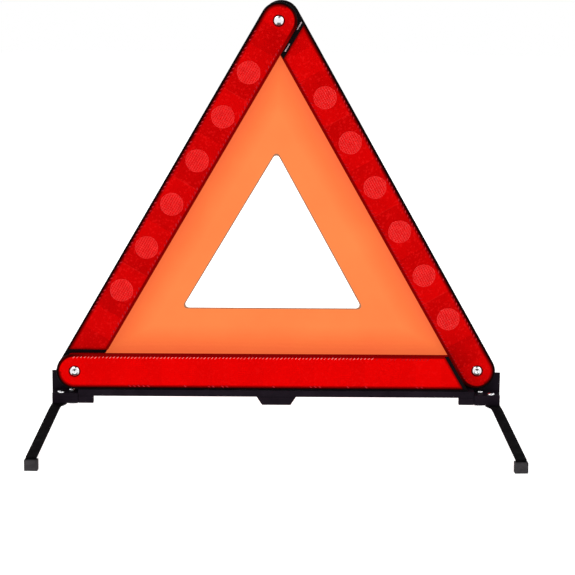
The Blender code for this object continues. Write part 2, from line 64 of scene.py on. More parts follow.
LENS_HALF = 0.0164           # from the arm's middle line to the lens's outer edge
LENS_INNER = 0.01795         # on the inner side a lip of the lens lies over the housing's wall
LENS_BODY = 0.0166           # the lens inside the housing, below that lip
LENS_DEPTH = 0.0020
LENS_SEAT = 0.0022           # depth of the recess that holds the lens
SEAT_GAP_INNER = 0.0002
SEAT_GAP_OUTER = 0.0003
LENS_CUT = {"base": 0.0205, "left": 0.0212, "right": 0.0215}    # from the axis of the arm beside it
LIP_FROM, LIP_TO = -0.004, 0.008                                # the lip rises between these two lines
WELL = 0.0064                # radius of the opening round a rivet head
WELL_DRAFT = 0.0006

DISC_RADIUS = 0.0113
# along the arm: the first disc and the pitch
DISC_PLACES = {"base": (0.0610, 0.0504), "left": (0.0575, 0.0497), "right": (0.0610, 0.0504)}
DISC_RELIEFS = {"base": (0.00004,) * 5 + (0.00012,), "left": (0.00030,) * 6, "right": (0.00030,) * 6}
RIDGE_PITCH = 0.0022
RIDGE_ALONG, RIDGE_ACROSS, RIDGE_RIM = 0.0010, 0.0006, 0.0008   # widths of a disc's ridges

TOOTH_RELIEF = 0.00035
TOOTH_ROOT = 0.0004          # how deep a tooth is sunk into the lens
FINE_TOOTH = (0.0036, 0.0007, 0.0017)                           # pitch, width, length
COARSE_TOOTH = (0.0046, 0.0016, 0.0016)
CREST = LENS_INNER - 0.0032  # the line that the inner row of teeth starts from
BRINK = -LENS_HALF + 0.0012  # and the outer row

BACK_POCKETS = 8
BACK_POCKET_FIRST = 0.062
BACK_POCKET_PITCH = 0.040
BACK_POCKET_HALF = 0.017
BACK_POCKET_SIDES = (0.0012, 0.0125)                            # from and to, on both sides of the middle
BACK_POCKET_CORNER = 0.0020
BACK_POCKET_DEPTH = 0.0013
SNAP_BORE = (0.0044, 0.0018)                                    # radius, depth

HEAD_RADIUS = 0.0050
HEAD_HEIGHT = 0.0017
SHAFT_RADIUS = 0.0022
TAIL_RADIUS = 0.0041
TAIL_HEIGHT = 0.0014

SHEET_EDGE = (0.0010, 0.0060)                                   # inset, corner radius
SHEET_HOLE = (0.0642, 0.0035)
HOLE_SHIFT = (0.0014, 0.0030, 0.0020)                           # left, left at its foot, down at its foot
CUT_EDGE_SHARE = 0.017       # of the way from the sheet's edge to its hole
SHEET_THICKNESS = 0.0004
SHEET_ROWS, SHEET_COLUMNS = 40, 60

END_POINTS = 36
TAIL_POINTS = 17
CORNER_POINTS = 9

joint = {j["name"]: j for j in frame["record"]["behaviour"]["joints"]}
LEFT = Vector(joint["left_arm_fold"]["pos_m"])
RIGHT = Vector(joint["right_arm_fold"]["pos_m"])
SIDE = (RIGHT - LEFT).length
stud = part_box("top_snap_stud")
TOP = Vector(((stud[0][0] + stud[1][0]) / 2, 0.0, (stud[0][2] + stud[1][2]) / 2))
random.seed(7)


# ------------------------------------------------------------------ node helpers
class Shader:
    """A node material under construction."""

    def __init__(self, name):
        self.mat = bpy.data.materials.new(name)
        self.mat.use_nodes = True
        self.tree = self.mat.node_tree
        self.bsdf = self.tree.nodes["Principled BSDF"]

    def node(self, kind, **settings):
        item = self.tree.nodes.new(kind)
        for key, value in settings.items():
            setattr(item, key, value)
        return item

    def link(self, source, target):
        self.tree.links.new(source, target)

    def put(self, **values):
        for key, value in values.items():
            self.bsdf.inputs[key.replace("_", " ")].default_value = value

    def coords(self):
        return self.node("ShaderNodeTexCoord").outputs["Object"]

    def value(self, source, operation, amount=0.0):
        math_node = self.node("ShaderNodeMath", operation=operation)
        for socket, operand in zip(math_node.inputs, (source, amount)):
            if isinstance(operand, (int, float)):
                socket.default_value = operand
            else:
                self.link(operand, socket)
        return math_node.outputs[0]

    def noise(self, scale, detail=2.0, rough=0.5):
        texture = self.node("ShaderNodeTexNoise")
        texture.inputs["Scale"].default_value = scale
        texture.inputs["Detail"].default_value = detail
        texture.inputs["Roughness"].default_value = rough
        self.link(self.coords(), texture.inputs["Vector"])
        return texture.outputs["Fac"]

    def ramp(self, source, stops):
        ramp = self.node("ShaderNodeValToRGB")
        elements = ramp.color_ramp.elements
        while len(elements) > 1:
            elements.remove(elements[-1])
        elements[0].position = stops[0][0]
        elements[0].color = (*stops[0][1], 1.0)
        for position, colour in stops[1:]:
            element = elements.new(position)
            element.color = (*colour, 1.0)
        self.link(source, ramp.inputs[0])
        return ramp.outputs["Color"]

    def span(self, source, low, high, to_low=0.0, to_high=1.0):
        item = self.node("ShaderNodeMapRange")
        self.link(source, item.inputs["Value"])
        limits = {"From Min": low, "From Max": high, "To Min": to_low, "To Max": to_high}
        for key, value in limits.items():
            item.inputs[key].default_value = value
        return item.outputs[0]

    def mix(self, factor, a, b, blend="MIX"):
        item = self.node("ShaderNodeMix", data_type="RGBA", blend_type=blend)
        if isinstance(factor, (int, float)):
            item.inputs[0].default_value = factor
        else:
            self.link(factor, item.inputs[0])
        for socket, colour in ((item.inputs[6], a), (item.inputs[7], b)):
            if isinstance(colour, tuple):
                socket.default_value = (*colour, 1.0)
            else:
                self.link(colour, socket)
        return item.outputs[2]

    def bump(self, height, strength, distance):
        item = self.node("ShaderNodeBump")
        item.inputs["Strength"].default_value = strength
        item.inputs["Distance"].default_value = distance
        self.link(height, item.inputs["Height"])
        self.link(item.outputs["Normal"], self.bsdf.inputs["Normal"])

    def colour(self, source):
        self.link(source, self.bsdf.inputs["Base Color"])

    def rough(self, source):
        self.link(source, self.bsdf.inputs["Roughness"])


def moulded(name, colour, light, roughness, specular=0.18):
    """Black moulded plastic with a fine spark-eroded grain."""
    s = Shader(name)
    s.put(Specular_IOR_Level=specular)
    mottle = s.noise(60.0, 4.0, 0.6)
    fine = s.noise(900.0, 2.0, 0.6)
    s.colour(s.ramp(mottle, [(0.30, colour), (0.75, light)]))
    s.rough(s.span(fine, 0.3, 0.7, roughness - 0.08, roughness + 0.10))
    s.bump(fine, 0.25, 0.00010)
    return s.mat


def lens_material(name, arm, deep, bright, edge, glint_share):
    """Red prismatic reflector: alternating fields, tiny cube corners with painted glints, painted shade
    darkening the bevelled rim.
    """
    s = Shader(name)
    s.put(Specular_IOR_Level=0.008, Roughness=0.42)
    first, pitch = DISC_PLACES[arm]
    axes = s.node("ShaderNodeSeparateXYZ")
    s.link(s.coords(), axes.inputs[0])
    along, across = axes.outputs[0], axes.outputs[1]

    # fields of two tones, half a disc pitch long, clouded
    steps = s.value(s.value(along, "SUBTRACT", first), "DIVIDE", pitch)
    field = s.value(s.value(steps, "FRACT"), "GREATER_THAN", 0.5)
    field = s.value(field, "MULTIPLY", 0.22 if arm == "base" else 0.32)
    cloud = s.noise(55.0, 3.0, 0.6)
    blotch = s.noise(16.0, 2.0, 0.5)
    tone = s.value(field, "ADD", s.span(cloud, 0.25, 0.75, -0.06, 0.26))
    tone = s.value(tone, "ADD", s.span(blotch, 0.3, 0.7, 0.0, 0.40))
    base = s.ramp(tone, [(0.0, deep), (1.0, bright)])

    # cube corners, a few of them with painted glints: lighter red specks
    cells = s.node("ShaderNodeTexVoronoi", feature="F1")
    cells.inputs["Scale"].default_value = 620.0
    s.link(s.coords(), cells.inputs["Vector"])
    spark = s.node("ShaderNodeSeparateColor")
    s.link(cells.outputs["Color"], spark.inputs[0])
    glint = s.value(s.value(spark.outputs[0], "GREATER_THAN", 0.86), "MULTIPLY", glint_share)
    base = s.mix(glint, base, (0.86, 0.010, 0.010))

    # a side arm has a fine seam every second disc pitch
    if arm != "base":
        phase = s.value(s.value(s.value(steps, "DIVIDE", 2.0), "ADD", 0.25), "FRACT")
        seam = s.value(s.value(s.value(phase, "SUBTRACT", 0.5), "ABSOLUTE"), "LESS_THAN", 0.0045)
        base = s.mix(s.value(seam, "MULTIPLY", 0.10), base, (0.80, 0.03, 0.025))

    # reach is the distance from the lens's middle line, and from its rivet at the round end
    behind = s.value(along, "MINIMUM", 0.0)
    square = s.value(s.value(behind, "MULTIPLY", behind), "ADD", s.value(across, "MULTIPLY", across))
    reach = s.value(square, "SQRT")
    inward = s.value(across, "GREATER_THAN", 0.0)
    outward = s.value(1.0, "SUBTRACT", inward)
    inner = s.value(s.span(reach, LENS_INNER - 0.0034, LENS_INNER - 0.0024), "MULTIPLY", inward)
    outer = s.value(s.span(reach, LENS_HALF - 0.0036, LENS_HALF - 0.0002), "MULTIPLY", outward)
    # slant is the distance from the axis of the arm that the slanted end runs beside
    slant = s.value(s.value(SIDE, "SUBTRACT", along), "MULTIPLY", math.sin(TAIL_LEAN))
    slant = s.value(slant, "ADD", s.value(across, "MULTIPLY", math.cos(TAIL_LEAN)))
    tail = s.span(slant, LENS_CUT[arm] + 0.0004, LENS_CUT[arm] + 0.0026, 0.9, 0.0)
    # painted shade: the lens turns dark red along its inner edge, its outer edge and its slanted end
    rim = s.value(s.value(inner, "MAXIMUM", outer), "MAXIMUM", tail)
    base = s.mix(rim, base, edge)
    # painted shade: towards near black along the outer edge, and along the inner edge near the round end
    round_end = s.span(along, -0.004, 0.012, 0.85, 0.0)
    shade = s.value(outer, "MAXIMUM", s.value(inner, "MULTIPLY", round_end))
    s.colour(s.mix(shade, base, tuple(c * 0.10 for c in edge)))
    s.bump(cells.outputs["Distance"], 0.22, 0.00030)
    return s.mat


def bright_metal(name, tint=(0.86, 0.86, 0.88), roughness=0.14):
    """Nickel-plated rivet metal with faint wear."""
    s = Shader(name)
    s.put(Metallic=1.0)
    wear = s.noise(700.0, 3.0, 0.6)
    s.colour(s.ramp(wear, [(0.3, tuple(c * 0.82 for c in tint)), (0.7, tint)]))
    s.rough(s.span(wear, 0.3, 0.7, roughness * 0.7, roughness * 1.5))
    s.bump(wear, 0.10, 0.00005)
    return s.mat


def steel_strip(name):
    """Black coated steel strip: rolled grain along its length, worn lighter in places."""
    s = Shader(name)
    s.put(Specular_IOR_Level=0.004)
    fine = s.noise(1500.0, 2.0, 0.6)
    wide = s.noise(90.0, 4.0, 0.65)
    s.colour(s.ramp(wide, [(0.30, (0.0026, 0.0022, 0.0026)),
                           (0.62, (0.0060, 0.0054, 0.0060)),
                           (0.82, (0.0160, 0.0150, 0.0155))]))
    s.rough(s.span(fine, 0.3, 0.7, 0.60, 0.80))
    s.bump(fine, 0.35, 0.00012)
    return s.mat


def rubber(name):
    """Grey rubber of the foot caps."""
    s = Shader(name)
    s.put(Specular_IOR_Level=0.04)
    dust = s.noise(220.0, 4.0, 0.7)
    s.colour(s.ramp(dust, [(0.25, (0.024, 0.022, 0.024)), (0.75, (0.056, 0.052, 0.055))]))
    s.rough(s.span(dust, 0.3, 0.7, 0.72, 0.92))
    s.bump(s.noise(1300.0), 0.3, 0.00010)
    return s.mat


def fluorescent(name):
    """Fluorescent orange coated textile: plain weave under the coating, even strong colour from a painted
    glow, and redder painted shade towards the arms.
    """
    s = Shader(name)
    s.put(Specular_IOR_Level=0.10, Roughness=0.62, Sheen_Weight=0.05)
    waves = []
    for turn in (0.0, math.pi / 2):
        mapping = s.node("ShaderNodeMapping")
        mapping.inputs["Rotation"].default_value = (0.0, turn, 0.0)
        s.link(s.coords(), mapping.inputs["Vector"])
        wave = s.node("ShaderNodeTexWave", wave_type="BANDS", bands_direction="X", wave_profile="SIN")
        wave.inputs["Scale"].default_value = 420.0
        wave.inputs["Distortion"].default_value = 0.6
        s.link(mapping.outputs[0], wave.inputs["Vector"])
        waves.append(wave.outputs["Fac"])
    weave = s.value(waves[0], "MULTIPLY", waves[1])
    cloud = s.noise(14.0, 3.0, 0.55)
    axes = s.node("ShaderNodeSeparateXYZ")
    s.link(s.coords(), axes.inputs[0])
    centre_z = (LEFT.z + TOP.z + RIGHT.z) / 3
    depth = None
    for heading in (-90, 30, 150):
        turn = math.radians(heading)
        across = s.value(axes.outputs[0], "MULTIPLY", math.cos(turn))
        height = s.value(s.value(axes.outputs[2], "SUBTRACT", centre_z), "MULTIPLY", math.sin(turn))
        reach = s.value(across, "ADD", height)
        depth = reach if depth is None else s.value(depth, "MAXIMUM", reach)
    # depth is the distance from the middle towards the nearest side; the rim lies against the arms
    inset = s.value(SIDE / (2 * math.sqrt(3)) - ARM_HALF, "SUBTRACT", depth)
    tone = s.span(inset, 0.0, 0.026, 0.0, 0.78)
    tone = s.value(tone, "ADD", s.span(cloud, 0.3, 0.7, -0.10, 0.16))
    tone = s.value(tone, "ADD", s.value(weave, "MULTIPLY", 0.08))
    # painted shade: redder and darker next to the arms, more orange towards the middle
    shade = s.ramp(tone, [(0.0, (0.98, 0.158, 0.046)), (0.35, (0.98, 0.182, 0.046)),
                          (1.0, (0.99, 0.248, 0.066))])
    # painted light: the diffuse colour is dimmed and the sheet glows in its own colour, so the arms' shade
    # hardly shows on it
    s.colour(s.mix(1.0, shade, (0.28, 0.27, 0.25), "MULTIPLY"))
    s.link(shade, s.bsdf.inputs["Emission Color"])
    s.put(Emission_Strength=0.77)
    s.bump(weave, 0.20, 0.00012)
    return s.mat


def prism_material(name, colour, light, roughness, specular, coat=0.15):
    """Moulded optic facets, in another tone than the field round them, or in light colours that are painted
    glints.
    """
    s = Shader(name)
    s.put(Specular_IOR_Level=specular, Roughness=roughness, Coat_Weight=coat, Coat_Roughness=0.06)
    patch = s.noise(160.0, 3.0, 0.6)
    s.colour(s.ramp(patch, [(0.30, colour), (0.70, light)]))
    return s.mat


BLACK = moulded("arm_black_plastic",
                (0.0020, 0.0010, 0.0014), (0.0050, 0.0030, 0.0040), 0.55, 0.04)
STAND_BLACK = moulded("stand_black_plastic",
                      (0.0060, 0.0034, 0.0066), (0.0120, 0.0076, 0.0130), 0.55, 0.05)
METAL = bright_metal("bright_rivet_metal")
DARK_METAL = bright_metal("dull_screw_metal", (0.45, 0.45, 0.47), 0.30)
STEEL = steel_strip("coated_steel_strip")
RUBBER = rubber("grey_foot_rubber")
ORANGE = fluorescent("fluorescent_orange_textile")
CUT_EDGE = moulded("heat_cut_textile_edge", (0.30, 0.135, 0.070), (0.42, 0.190, 0.100), 0.6)
# dark red of the painted shade along the lenses' rims and lips
RIM_SHADE_RED = (0.19, 0.0, 0.0)
LENS = {
    "base": lens_material("base_lens_red", "base",
                          (0.60, 0.0, 0.0), (0.74, 0.0002, 0.0002), RIM_SHADE_RED, 0.15),
    "left": lens_material("left_lens_red", "left",
                          (0.38, 0.0, 0.0002), (0.63, 0.0006, 0.0008), RIM_SHADE_RED, 0.24),
    "right": lens_material("right_lens_red", "right",
                           (0.40, 0.0, 0.0002), (0.64, 0.0006, 0.0008), RIM_SHADE_RED, 0.24),
}
# the lens's lip walls are painted in the dark red of the rim's painted shade
LIP = prism_material("lens_lip_red", RIM_SHADE_RED, (0.25, 0.0, 0.0), 0.50, 0.008, 0.0)
DISC_SIDE = prism_material("disc_field_red", (0.56, 0.0, 0.0002), (0.70, 0.0012, 0.0014), 0.40, 0.015)
RIDGE_SIDE = prism_material("disc_ridge_red", (0.68, 0.008, 0.008), (0.80, 0.026, 0.024), 0.34, 0.03)
RIDGE_BASE = prism_material("base_disc_ridge_red",
                            (0.62, 0.0, 0.0), (0.76, 0.0003, 0.0003), 0.42, 0.008, 0.0)
# pinkish white edge teeth: painted glints
TEETH = prism_material("edge_tooth_painted_glint", (0.88, 0.10, 0.09), (0.96, 0.42, 0.38), 0.30, 0.1)
DULL_TEETH = prism_material("dull_edge_tooth_optics",
                            (0.36, 0.006, 0.012), (0.50, 0.018, 0.026), 0.40, 0.02, 0.0)
# light grey guide ribs: painted glints
RIB = prism_material("rib_painted_glint_grey", (0.28, 0.20, 0.22), (0.55, 0.44, 0.46), 0.40, 0.3)


# ------------------------------------------------------------------ geometry helpers
def arm_matrix(origin, angle, y=0.0):
    """Drawing frame of an arm: u along it, v towards the triangle's inside, height to -Y."""
    along = Vector((math.cos(angle), 0.0, math.sin(angle)))
    across = Vector((-math.sin(angle), 0.0, math.cos(angle)))
    matrix = Matrix((along, across, Vector((0.0, -1.0, 0.0)))).transposed().to_4x4()
    matrix.translation = Vector((origin.x, y, origin.z))
    return matrix


def make_object(name, mesh, matrix, material, body, replaces=(), smooth=35):
    """Link a mesh, give it its finish and hang it on its body."""
    obj = bpy.data.objects.new(name, mesh)
    bpy.context.scene.collection.objects.link(obj)
    obj.matrix_world = matrix
    indices = [polygon.material_index for polygon in mesh.polygons]
    mesh.materials.clear()
    for finish in (material if isinstance(material, tuple) else (material,)):
        mesh.materials.append(finish)
    mesh.polygons.foreach_set("material_index", indices)
    if smooth:
        mesh.shade_smooth()
        mesh.set_sharp_from_angle(angle=math.radians(smooth))
    bpy.context.view_layer.update()
    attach(obj, body)
    if replaces:
        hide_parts(*replaces)
    return obj


def finished(work, name):
    """The bmesh as a new mesh with its normals outward."""
    bmesh.ops.recalc_face_normals(work, faces=work.faces)
    mesh = bpy.data.meshes.new(name)
    work.to_mesh(mesh)
    work.free()
    return mesh


def loft(name, rings):
    """Skin closed rings of equal count, each a list of (x, y, z), and cap both ends."""
    work = bmesh.new()
    rows = [[work.verts.new(point) for point in ring] for ring in rings]
    count = len(rows[0])
    for lower, upper in zip(rows, rows[1:]):
        for i in range(count):
            j = (i + 1) % count
            work.faces.new((lower[i], lower[j], upper[j], upper[i]))
    work.faces.new(list(reversed(rows[0])))
    work.faces.new(rows[-1])
    return finished(work, name)


def outline(half_in, half_out, cut=None, tail_radius=None, end_radius=None):
    """Arm outline: round end at u = 0, then a slanted cut or a round tongue at the far rivet."""
    points = []
    end_radius = end_radius or (half_in + half_out) / 2
    for i in range(END_POINTS + 1):
        turn = math.radians(90 + 180 * i / END_POINTS)
        half = half_in if math.sin(turn) > 0 else half_out
        points.append((end_radius * math.cos(turn), half * math.sin(turn)))
    if cut is None:
        for i in range(TAIL_POINTS):
            turn = math.radians(-90 + 180 * i / (TAIL_POINTS - 1))
            points.append((SIDE + tail_radius * math.cos(turn), tail_radius * math.sin(turn)))
        return points
    for i in range(TAIL_POINTS):
        v = -half_out + (half_in + half_out) * i / (TAIL_POINTS - 1)
        run = (v - cut * math.sin(TAIL_LEAN + math.pi / 2)) / math.sin(TAIL_LEAN)
        points.append((SIDE + cut * math.cos(TAIL_LEAN + math.pi / 2) + run * math.cos(TAIL_LEAN), v))
    return points


def at_height(points, height):
    return [(u, v, height) for u, v in points]


def evaluated(obj):
    """A new mesh with the object's modifiers applied."""
    bpy.context.view_layer.update()
    graph = bpy.context.evaluated_depsgraph_get()
    return bpy.data.meshes.new_from_object(obj.evaluated_get(graph))


def carve(mesh, tools):
    """Cut closed tool meshes out of a mesh drawn in the same frame."""
    target = bpy.data.objects.new("carve_target", mesh)
    bpy.context.scene.collection.objects.link(target)
    helpers = []
    for tool in tools:
        helper = bpy.data.objects.new("carve_tool", tool)
        bpy.context.scene.collection.objects.link(helper)
        helpers.append(helper)
        boolean = target.modifiers.new("carve", "BOOLEAN")
        boolean.operation = "DIFFERENCE"
        boolean.solver = "MANIFOLD"
        boolean.object = helper
    result = evaluated(target)
    for item in [target] + helpers:
        bpy.data.objects.remove(item, do_unlink=True)
    return result


def disc_ring(centre, radius, height, count=48):
    return [(centre[0] + radius * math.cos(math.tau * i / count),
             centre[1] + radius * math.sin(math.tau * i / count), height) for i in range(count)]


def round_plug(name, centre, radius, low, high):
    return loft(name, [disc_ring(centre, radius, low), disc_ring(centre, radius, high)])


def turned(name, profile, steps=64):
    """Spin a profile of (radius, height) from crown to foot round the local Z axis."""
    work = bmesh.new()
    crown = work.verts.new((0.0, 0.0, profile[0][1]))
    rows = []
    for radius, height in profile[1:-1]:
        rows.append([work.verts.new(point) for point in disc_ring((0.0, 0.0), radius, height, steps)])
    foot = work.verts.new((0.0, 0.0, profile[-1][1]))
    for i in range(steps):
        j = (i + 1) % steps
        work.faces.new((crown, rows[0][i], rows[0][j]))
        for upper, lower in zip(rows, rows[1:]):
            work.faces.new((upper[i], lower[i], lower[j], upper[j]))
        work.faces.new((foot, rows[-1][j], rows[-1][i]))
    return finished(work, name)


# ------------------------------------------------------------------ arms
def rounded_box(low, high, radius, steps=4):
    """Corner-rounded rectangle from low to high as (u, v) points."""
    points = []
    for x, y, start in ((high[0] - radius, high[1] - radius, 0), (low[0] + radius, high[1] - radius, 90),
                        (low[0] + radius, low[1] + radius, 180), (high[0] - radius, low[1] + radius, 270)):
        for step in range(steps + 1):
            turn = math.radians(start + 90 * step / steps)
            points.append((x + radius * math.cos(turn), y + radius * math.sin(turn)))
    return points


def housing_mesh(name, cut, tail, snap_bore):
    """Housing with its front face at height 0: lens recess in front, ribbed pockets behind."""
    def shape(inset):
        half = ARM_HALF - inset
        if tail is None:
            return outline(half, half, BASE_CUT + inset)
        return outline(half, half, None, tail - inset)

    def recess(grow):
        return outline(LENS_BODY + SEAT_GAP_INNER + grow, LENS_HALF + SEAT_GAP_OUTER + grow, cut - grow)

    mesh = loft(name, [
        at_height(shape(0.0005), -ARM_DEPTH), at_height(shape(0.0), -ARM_DEPTH + 0.0005),
        at_height(shape(0.0), -0.0006), at_height(shape(0.0003), -0.00015),
        at_height(shape(RIM_ROUND), 0.0),
        at_height(recess(0.0003), 0.0), at_height(recess(0.0), -0.0003),
        at_height(recess(0.0), -LENS_SEAT)])
    below = -ARM_DEPTH - 0.001
    inner, outer = BACK_POCKET_SIDES
    tools = []
    for i in range(BACK_POCKETS):
        middle = BACK_POCKET_FIRST + i * BACK_POCKET_PITCH
        for low, high in ((-outer, -inner), (inner, outer)):
            ring = rounded_box((middle - BACK_POCKET_HALF, low), (middle + BACK_POCKET_HALF, high),
                               BACK_POCKET_CORNER)
            tools.append(loft("pocket", [at_height(ring, below),
                                         at_height(ring, -ARM_DEPTH + BACK_POCKET_DEPTH)]))
    if snap_bore:
        radius, depth = SNAP_BORE
        tools.append(round_plug("bore", (SIDE, 0.0), radius, below, -ARM_DEPTH + depth))
    mesh = carve(mesh, tools)
    # the lens's lip is folded over the wall on the triangle's inner side
    for polygon in mesh.polygons:
        if polygon.center.y > ARM_HALF - 0.0008 and polygon.normal.y > 0.3:
            polygon.material_index = 1
    return mesh


def lens_mesh(name, cut):
    """Lens with a bevelled rim and its front face at height 0, with the rivet well cut."""
    def ring(half_in, inset, cut_inset, lip_height, rim_height):
        half_out = LENS_HALF - inset
        points = outline(half_in, half_out, cut + cut_inset, end_radius=half_out)
        lifts = [min(1.0, max(0.0, (v - LIP_FROM) / (LIP_TO - LIP_FROM))) for _, v in points]
        return [(u, v, rim_height + (lip_height - rim_height) * lift)
                for (u, v), lift in zip(points, lifts)]

    mesh = loft(name, [ring(LENS_BODY, 0.0, 0.0, -LENS_DEPTH, -LENS_DEPTH),
                       ring(LENS_BODY, 0.0, 0.0, 0.00003, -0.00075),
                       ring(LENS_INNER, 0.0, 0.0, 0.00005, -0.00072),
                       ring(LENS_INNER, 0.0, 0.0001, 0.00022, -0.00060),
                       ring(LENS_INNER - 0.00015, 0.0002, 0.0003, 0.00030, -0.00040),
                       ring(LENS_INNER - 0.0020, 0.0022, 0.0022, 0.00012, -0.00010),
                       ring(LENS_INNER - 0.0030, 0.0030, 0.0030, 0.0, 0.0)])
    foot = WELL - WELL_DRAFT
    well = loft("well", [disc_ring((0, 0), foot, -LENS_DEPTH - 0.001), disc_ring((0, 0), foot, -WELL_DRAFT),
                         disc_ring((0, 0), WELL, 0.0), disc_ring((0, 0), WELL, 0.001)])
    return carve(mesh, [well])


def ridge(work, start, end, width, crest):
    """A roof-shaped ridge from start to end; its faces get the second finish."""
    along = Vector(end) - Vector(start)
    side = Vector((-along.y, along.x)).normalized() * width / 2
    rows = []
    for point in (Vector(start), Vector(end)):
        left, right = point + side, point - side
        rows.append([work.verts.new((left.x, left.y, 0.0)), work.verts.new((point.x, point.y, crest)),
                     work.verts.new((right.x, right.y, 0.0))])
    first, last = rows
    faces = [work.faces.new(first), work.faces.new(list(reversed(last)))]
    for a in range(3):
        b = (a + 1) % 3
        faces.append(work.faces.new((first[b], first[a], last[a], last[b])))
    for face in faces:
        face.material_index = 1


def disc_optics(name, arm):
    """Round fields of crossed ridges, each on a thin round plate."""
    work = bmesh.new()
    first, pitch = DISC_PLACES[arm]
    reach = int(DISC_RADIUS / RIDGE_PITCH)
    for k, relief in enumerate(DISC_RELIEFS[arm]):
        centre = first + k * pitch
        low = [work.verts.new(point) for point in disc_ring((centre, 0.0), DISC_RADIUS, -0.0001)]
        high = [work.verts.new(point) for point in disc_ring((centre, 0.0), DISC_RADIUS, relief * 0.25)]
        work.faces.new(list(reversed(low)))
        work.faces.new(high)
        for a in range(len(low)):
            b = (a + 1) % len(low)
            work.faces.new((low[a], low[b], high[b], high[a]))
        for i in range(-reach, reach + 1):
            offset = i * RIDGE_PITCH
            chord = math.sqrt(DISC_RADIUS ** 2 - offset ** 2) - 0.0005
            ridge(work, (centre - chord, offset), (centre + chord, offset), RIDGE_ALONG, relief)
            ridge(work, (centre + offset, -chord), (centre + offset, chord), RIDGE_ACROSS, relief * 0.7)
        rim = disc_ring((centre, 0.0), DISC_RADIUS - RIDGE_RIM / 2, 0.0)
        for a in range(len(rim)):
            ridge(work, rim[a][:2], rim[(a + 1) % len(rim)][:2], RIDGE_RIM, relief)
    return finished(work, name)


def edge_teeth(name, v_edge, direction, u_low, u_high, size, drop):
    """A row of small slanted wedge prisms along a lens edge; a share of them, drop, is left out."""
    pitch, width, length = size
    work = bmesh.new()
    for i in range(int((u_high - u_low) / pitch)):
        u = u_low + i * pitch + random.uniform(-0.00015, 0.00015)
        if random.random() < drop:
            continue
        reach = length * random.uniform(0.75, 1.1)
        tip = v_edge + direction * reach
        foot = [(u, v_edge), (u + width, v_edge), (u + width - reach, tip), (u - reach, tip)]
        heights = (TOOTH_RELIEF, TOOTH_RELIEF * 0.2, TOOTH_RELIEF * 0.2, TOOTH_RELIEF)
        low = [work.verts.new((x, y, -TOOTH_ROOT)) for x, y in foot]
        high = [work.verts.new((x, y, height)) for (x, y), height in zip(foot, heights)]
        work.faces.new(list(reversed(low)))
        work.faces.new((high[0], high[1], high[2]))
        work.faces.new((high[0], high[2], high[3]))
        for a in range(4):
            b = (a + 1) % 4
            work.faces.new((low[a], low[b], high[b], high[a]))
    return finished(work, name)


# per arm: its body, the rivet it starts from, its heading, its tail radius (None: cut) and a snap bore
ARMS = (
    ("base", "root", LEFT, 0.0, None, False),
    ("left", "left_arm", TOP, math.radians(240), 0.0175, True),
    ("right", "right_arm", RIGHT, math.radians(119.6), 0.0180, False),
)
# per row: its line, which way the teeth point, from and to along the arm, size, share left out, finish
ROW_END = SIDE - 0.050
TOOTH_ROWS = {
    "base": ((CREST + 0.0005, -1, 0.0, 0.300, FINE_TOOTH, 0.0, TEETH),
             (CREST, -1, 0.300, ROW_END + 0.012, FINE_TOOTH, 0.2, DULL_TEETH),
             (BRINK, 1, 0.050, ROW_END, COARSE_TOOTH, 0.6, DULL_TEETH)),
    "left": ((CREST, -1, 0.020, ROW_END + 0.010, COARSE_TOOTH, 0.15, DULL_TEETH),
             (BRINK, 1, 0.020, ROW_END, COARSE_TOOTH, 0.15, DULL_TEETH)),
    "right": ((CREST + 0.0003, -1, 0.0, 0.200, FINE_TOOTH, 0.0, DULL_TEETH),
              (CREST + 0.0003, -1, 0.200, ROW_END + 0.010, FINE_TOOTH, 0.2, DULL_TEETH),
              (BRINK, 1, 0.020, ROW_END, COARSE_TOOTH, 0.15, DULL_TEETH)),
}
for arm, body, origin, angle, tail, bored in ARMS:
    matrix = arm_matrix(origin, angle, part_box(f"{arm}_arm_housing")[0][1])
    make_object(f"{arm}_housing_shell", housing_mesh(f"{arm}_housing_shell", LENS_CUT[arm], tail, bored),
                matrix, (BLACK, LIP), body, (f"{arm}_arm_housing",))
    make_object(f"{arm}_reflector", lens_mesh(f"{arm}_reflector", LENS_CUT[arm]),
                matrix, LENS[arm], body, (f"{arm}_arm_lens",))
    make_object(f"{arm}_disc_optics", disc_optics(f"{arm}_disc_optics", arm), matrix,
                (LENS["base"], RIDGE_BASE) if arm == "base" else (DISC_SIDE, RIDGE_SIDE),
                body, smooth=0)
    for k, (*row, glass) in enumerate(TOOTH_ROWS[arm]):
        name = f"{arm}_edge_teeth_{k}"
        make_object(name, edge_teeth(name, *row), matrix, glass, body, smooth=0)

# two guide ribs on the right housing, beside the left arm, painted light grey as glints: from, to and line
# in its frame
GUIDE_RIBS = ((-0.0096, -0.0012, 0.0197), (0.0140, 0.0230, 0.0202))
GUIDE_RIB_HALF = 0.00055
guide = arm_matrix(TOP, math.radians(240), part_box("right_arm_housing")[0][1])
for k, (start, stop, v) in enumerate(GUIDE_RIBS):
    rings = []
    for height, inset in ((-0.0010, 0.0), (0.00012, 0.0), (0.00026, 0.0002)):
        half = GUIDE_RIB_HALF - inset
        rings.append([(start + inset, v - half, height), (stop - inset, v - half, height),
                      (stop - inset, v + half, height), (start + inset, v + half, height)])
    make_object(f"guide_rib_{k}", loft(f"guide_rib_{k}", rings), guide, RIB, "right_arm")


# ------------------------------------------------------------------ rivets
def hollow_head(radius, height, dimple, base):
    """Profile of a tubular rivet's rolled head: a shallow dimple inside a rolled rim."""
    points = [(0.0, base + height * 0.62)]
    for i in range(1, 7):
        t = i / 6
        points.append((dimple * t, base + height * (0.62 + 0.38 * t * t)))
    for i in range(1, 9):
        turn = math.radians(90 * i / 8)
        points.append((dimple + (radius - dimple) * math.sin(turn),
                       base + height * (0.18 + 0.82 * math.cos(turn))))
    return points


def dome_head(radius, height, base):
    """Profile of a low domed head."""
    points = []
    for i in range(11):
        turn = math.radians(90 * i / 10)
        points.append((radius * math.sin(turn), base + height * (0.15 + 0.85 * math.cos(turn))))
    return points


